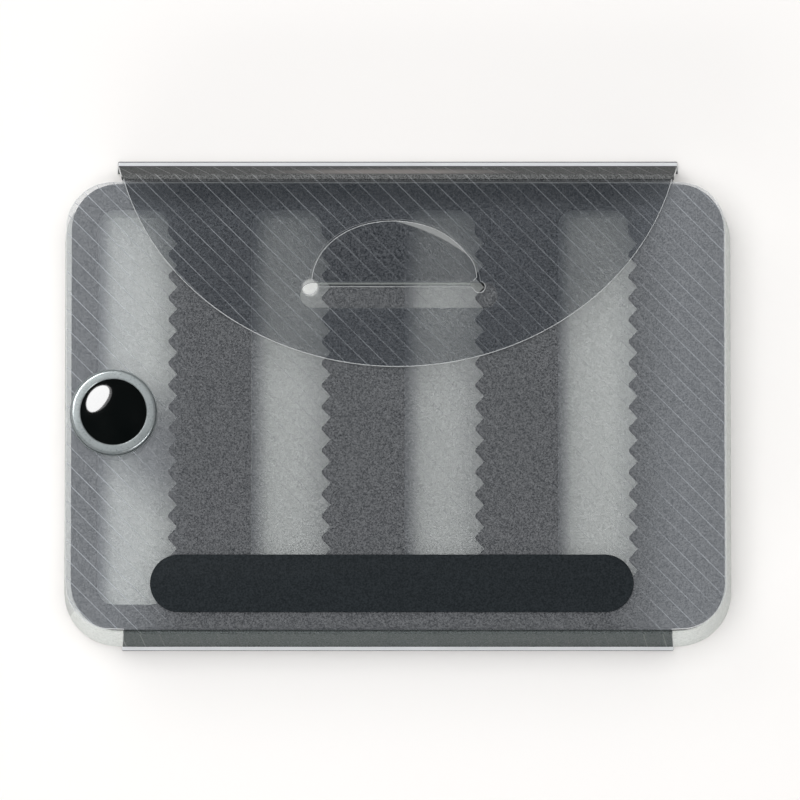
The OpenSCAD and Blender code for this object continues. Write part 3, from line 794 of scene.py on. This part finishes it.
def makeFlap():
    c, line = flapCut, topFront
    start = math.asin((c["ovalCentre"] - line.x) / c["ovalY"])
    turns = [start + (math.pi - 2 * start) * i / c["rimSteps"] for i in range(c["rimSteps"] + 1)]
    rim = [(c["ovalX"] * math.cos(a), line.x - c["ovalCentre"] + c["ovalY"] * math.sin(a)) for a in turns]
    outline = [(rim[0][0] + c["notch"], -spare)] + rim + [(rim[-1][0] - c["notch"], -spare)]
    slotY = line.x - c["slotY"]
    slot = (arcPoints(c["slotX"] + c["slotHalf"] - c["slotR"], slotY, c["slotR"], -90, 90, 16)
        + arcPoints(c["slotX"] + c["slotR"] - c["slotHalf"], slotY, c["slotR"], 90, 270, 16))
    sheet = cutSheet("flap", [outline, slot], thick, soft)
    for face in sheet.faces:
        spot = face.calc_center_median()
        inSlot = (abs(spot.y - slotY) < c["slotR"] + c["slotRim"]
            and abs(spot.x) < c["slotHalf"] + c["slotRim"])
        if face.material_index == 1 and inSlot:
            face.material_index = 3
    squareEnd(sheet, -sheetLook["joinFold"], 1, 2)
    path = scoredCrease(line, -topLeg, Vector((-1, 0)), topCrease["reaches"], topCrease["dips"])
    splitAcross(sheet, [station[0] for station in path])
    paintBand(sheet, -spare, path[3][0], 4, 0)
    bendSheet(sheet, path, -1)
    piece = finishSheet("flap", sheet, smokeFlap, cutEdge, scoreLine, dullEdge, smokeTopFold)
    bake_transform(piece)
    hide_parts("flap")


makeFlap()

tongueCut = {"half": 11.15, "reach": 8.7, "rise": 1.25, "riserY": 16.42, "radii": (0.26, 0.26),
    "crest": (1.1, 1.32), "bend": 1.5, "spare": 3}


# The tongue stands up out of the cover in a short riser and then lies flat over the flap
def makeTongue():
    c, axis, middle = tongueCut, hinges["tongue_flex"], latchCut["centreX"]
    right, left = middle + latchCut["neckHalf"], middle - latchCut["neckHalf"]
    low = axis.z - c["rise"]
    moon = halfMoon(c["half"], c["reach"], 4, 176, 50)
    outline = [(right, -c["spare"]), (right, c["rise"] - 0.1)]
    outline += [(x, y - c["riserY"] + c["rise"]) for x, y in moon]
    outline += [(left, c["rise"] - 0.1), (left, -c["spare"])]
    sheet = cutSheet("tongue", [outline], thick, soft)
    squareEnd(sheet, latchCut["neckY"] - c["riserY"], 1)
    corners = [(c["riserY"] - c["spare"], low), (c["riserY"], low), (c["riserY"], axis.z),
        (c["riserY"] + c["reach"], axis.z)]
    splitAcross(sheet, (*c["crest"], c["bend"]))
    paintBand(sheet, -c["spare"], c["bend"], 2, 0)
    # Painted highlight along the crest of the bend
    paintBand(sheet, *c["crest"], 3, 1)
    bendSheet(sheet, roundedPath([Vector(corner) for corner in corners], c["radii"]))
    piece = finishSheet("tongue", sheet, smokeTongue, cutEdge, clearBend, bendHighlight)
    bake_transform(piece)
    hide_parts("tongue")


makeTongue()
print("folder cut and creased")


# Width in mm and rounding steps of each foam's corners, and angles in degrees that count as flat or sharp
foamEdges = {"foam_base": (0.3, 3), "hook_foam": (0.1, 2), "flat": 1.5, "corner": 40, "sharp": 35}


# The CAD solid's own shape, with its corners softened
def softenedCopy(node, name, material):
    source = frame["nodes"][node]
    shape = bmesh.new()
    shape.from_mesh(source.data)
    bmesh.ops.remove_doubles(shape, verts=shape.verts, dist=0.000001)
    bmesh.ops.dissolve_limit(shape, angle_limit=math.radians(foamEdges["flat"]), verts=shape.verts,
        edges=shape.edges)
    mesh = bpy.data.meshes.new(name)
    shape.to_mesh(mesh)
    shape.free()
    piece = addPiece(name, mesh, material)
    bevel = piece.modifiers.new("softEdges", "BEVEL")
    width, bevel.segments = foamEdges[node]
    bevel.width = width * mm
    bevel.limit_method = "ANGLE"
    bevel.angle_limit = math.radians(foamEdges["corner"])
    bevel.harden_normals = False
    finished = bpy.data.meshes.new_from_object(piece.evaluated_get(bpy.context.evaluated_depsgraph_get()))
    piece.modifiers.clear()
    piece.data = finished
    finished.shade_smooth()
    finished.set_sharp_from_angle(angle=math.radians(foamEdges["sharp"]))
    return piece


foamBase = softenedCopy("foam_base", "foamBase", paleFoam)
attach(foamBase, "tray")
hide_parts("foam_base")
hookFoam = softenedCopy("hook_foam", "hookFoam", darkFoam)
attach(hookFoam, "tray")
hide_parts("hook_foam")

labelLook = {"soft": 0.07, "inset": 0.02, "steps": 24}


def makeLabel():
    low, high = cadBox("label")
    r = (high.y - low.y) / 2 - labelLook["inset"]
    outline = roundBox(low.x, low.y, high.x, high.y, r, labelLook["steps"])
    sheet = cutSheet("label", [outline], high.z - low.z, labelLook["soft"])
    bmesh.ops.translate(sheet, vec=(0, 0, (low.z + high.z) / 2), verts=sheet.verts)
    for face in sheet.faces:
        face.material_index = 0
    piece = finishSheet("label", sheet, labelFilm)
    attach(piece, "cover")
    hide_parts("label")


makeLabel()

capLook = {"rimGroove": 0.2, "flangeT": 0.2, "seatBelow": 0.3, "bodyIn": 0.17, "lipIn": 1.2,
    "shoulderR": 0.42, "crownFall": 0.05, "segments": 128, "shoulderSteps": 12, "domeSteps": 20}


def makeCap():
    look = capLook
    low, high = cadBox("snap_cap_ring")
    domeLow, domeHigh = cadBox("snap_dome")
    middle = Vector(((low.x + high.x) / 2, (low.y + high.y) / 2))
    outer, inner = (high.x - low.x) / 2, (domeHigh.x - domeLow.x) / 2
    seat, crown, bore = domeLow.z - look["seatBelow"], high.z, inner - look["lipIn"]
    top, body, r = seat + look["flangeT"], outer - look["bodyIn"], look["shoulderR"]
    profile = [(bore, seat), (outer - 0.08, seat), (outer, seat + 0.08), (outer - 0.03, top),
        (body + 0.06, top - 0.01), (body, top - look["rimGroove"])]
    profile += arcPoints(body - r, crown - look["crownFall"] - r, r, 0, 90, look["shoulderSteps"])
    profile += [(inner + 0.35, crown), (inner + 0.12, crown - 0.01), (inner + 0.02, crown - 0.08),
        (inner + 0.02, domeLow.z), (bore, domeLow.z), (bore, seat)]
    ring = lathe("capRing", profile, middle, look["segments"], satinMetal)
    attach(ring, "cover")
    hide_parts("snap_cap_ring")
    rise = domeHigh.z - (crown - look["crownFall"])
    ball = (inner * inner + rise * rise) / (2 * rise)
    spread = math.degrees(math.asin(inner / ball))
    arc = arcPoints(0, domeHigh.z - ball, ball, 90 - spread, 90, look["domeSteps"])
    dome = lathe("dome", [(0, domeLow.z), (inner, domeLow.z)] + arc[:-1] + [(0, domeHigh.z)], middle,
        look["segments"], blackGloss)
    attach(dome, "cover")
    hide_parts("snap_dome")


makeCap()

for node, material in (("snap_socket", innerMetal), ("snap_spring", innerMetal), ("snap_stud", innerMetal),
        ("snap_rivet", innerMetal), ("adhesive_film", glueFilm)):
    data = frame["nodes"][node].data
    data.materials.clear()
    data.materials.append(material)
print("foam, label and press stud made")


floorLook = {"half": 3.0, "level": -0.1 * mm, "colour": (0.90, 0.88, 0.865, 1), "glow": 0.07, "shine": 0.1}


def makeFloor():
    look = floorLook
    mesh = bpy.data.meshes.new("floor")
    half, z = look["half"], look["level"]
    corners = [(-half, -half, z), (half, -half, z), (half, half, z), (-half, half, z)]
    mesh.from_pydata(corners, [], [(0, 1, 2, 3)])
    material, tree, shader = newMaterial("paleFloor", Roughness=0.9)
    shader.inputs["Base Color"].default_value = look["colour"]
    shader.inputs["Emission Color"].default_value = (1, 1, 1, 1)
    shader.inputs["Emission Strength"].default_value = look["glow"]
    shader.inputs["Specular IOR Level"].default_value = look["shine"]
    addPiece("floor", mesh, material)


makeFloor()

# Each lamp is seen in the direction towards; the two that the press stud mirrors light nothing else, and
# sheenPanel gives the plastic sheets their sheen
keySide, capPlace, middlePlace = (-0.441, 0.479, 0.76), (-0.038, 0, 0.014), (0, 0, 0.01)
lampLooks = {
    "keyPanel": {"towards": keySide, "distance": 0.6, "size": (0.52, 0.4), "radiance": 1.1,
        "colour": (1, 0.99, 0.97), "glossy": False},
    "overheadPanel": {"towards": (-0.04, 0.0, 1), "distance": 1.2, "size": (1.0, 0.9), "radiance": 5.1,
        "glossy": False},
    "fillPanel": {"towards": (-0.35, -0.85, 0.42), "distance": 1.0, "size": (0.9, 0.25), "radiance": 3.5,
        "glossy": False},
    "shinePanel": {"towards": keySide, "distance": 0.6, "size": (0.52, 0.33), "radiance": 20,
        "long": (0.45, 0.89, 0), "aim": capPlace, "diffuse": False, "capOnly": True},
    "lowPanel": {"towards": (0.8, -0.75, 0.42), "distance": 0.7, "size": (0.5, 0.18), "radiance": 24,
        "long": (0.75, 0.8, 0), "aim": capPlace, "diffuse": False, "capOnly": True},
    "sheenPanel": {"towards": keySide, "distance": 0.8, "size": (0.7, 0.5), "radiance": 3,
        "long": (0.45, 0.89, 0), "diffuse": False}}
capLights = bpy.data.collections.new("capLights")
for name in ("capRing", "dome"):
    capLights.objects.link(bpy.data.objects[name])


# An oval lamp whose long side lies along the direction long
def addPanel(name, towards, distance, size, radiance, colour=(1, 1, 1), long=(1, 0, 0), aim=middlePlace,
        diffuse=True, glossy=True, capOnly=False):
    light = bpy.data.lights.new(name, "AREA")
    light.shape = "ELLIPSE"
    light.size, light.size_y = size
    light.energy = radiance * math.pi * math.pi / 4 * size[0] * size[1]
    light.color = colour
    lamp = bpy.data.objects.new(name, light)
    scene.collection.objects.link(lamp)
    out = Vector(towards).normalized()
    side = (Vector(long) - out * out.dot(Vector(long))).normalized()
    turn = Matrix((side, out.cross(side), out)).transposed().to_4x4()
    lamp.matrix_world = Matrix.Translation(Vector(aim) + out * distance) @ turn
    lamp.visible_diffuse = diffuse
    lamp.visible_glossy = glossy
    if capOnly:
        lamp.light_linking.receiver_collection = capLights


for name, look in lampLooks.items():
    addPanel(name, **look)

skyLook = {"colour": (0.98, 0.99, 1, 1), "strength": 0.2}
scene.view_settings.view_transform = "Standard"
world = bpy.data.worlds.new("studio")
scene.world = world
world.use_nodes = True
world.node_tree.nodes["Background"].inputs["Color"].default_value = skyLook["colour"]
world.node_tree.nodes["Background"].inputs["Strength"].default_value = skyLook["strength"]
world.cycles_visibility.glossy = False

viewLook = {"elevation": 82, "distance": 2.0, "centreX": 0.297 * mm, "centreY": 2.376 * mm,
    "frameWidth": 108.2 * mm, "sensor": 36, "near": 0.1, "far": 20}


def makeCamera():
    look = viewLook
    data = bpy.data.cameras.new("camera")
    data.sensor_width = look["sensor"]
    data.lens = data.sensor_width * look["distance"] / look["frameWidth"]
    data.clip_start, data.clip_end = look["near"], look["far"]
    camera = bpy.data.objects.new("camera", data)
    scene.collection.objects.link(camera)
    tilt = math.radians(look["elevation"])
    away = Vector((0, -math.cos(tilt), math.sin(tilt))) * look["distance"]
    camera.location = Vector((look["centreX"], look["centreY"], 0)) + away
    camera.rotation_euler = (math.radians(90) - tilt, 0, 0)
    scene.camera = camera


makeCamera()
print("stage set")
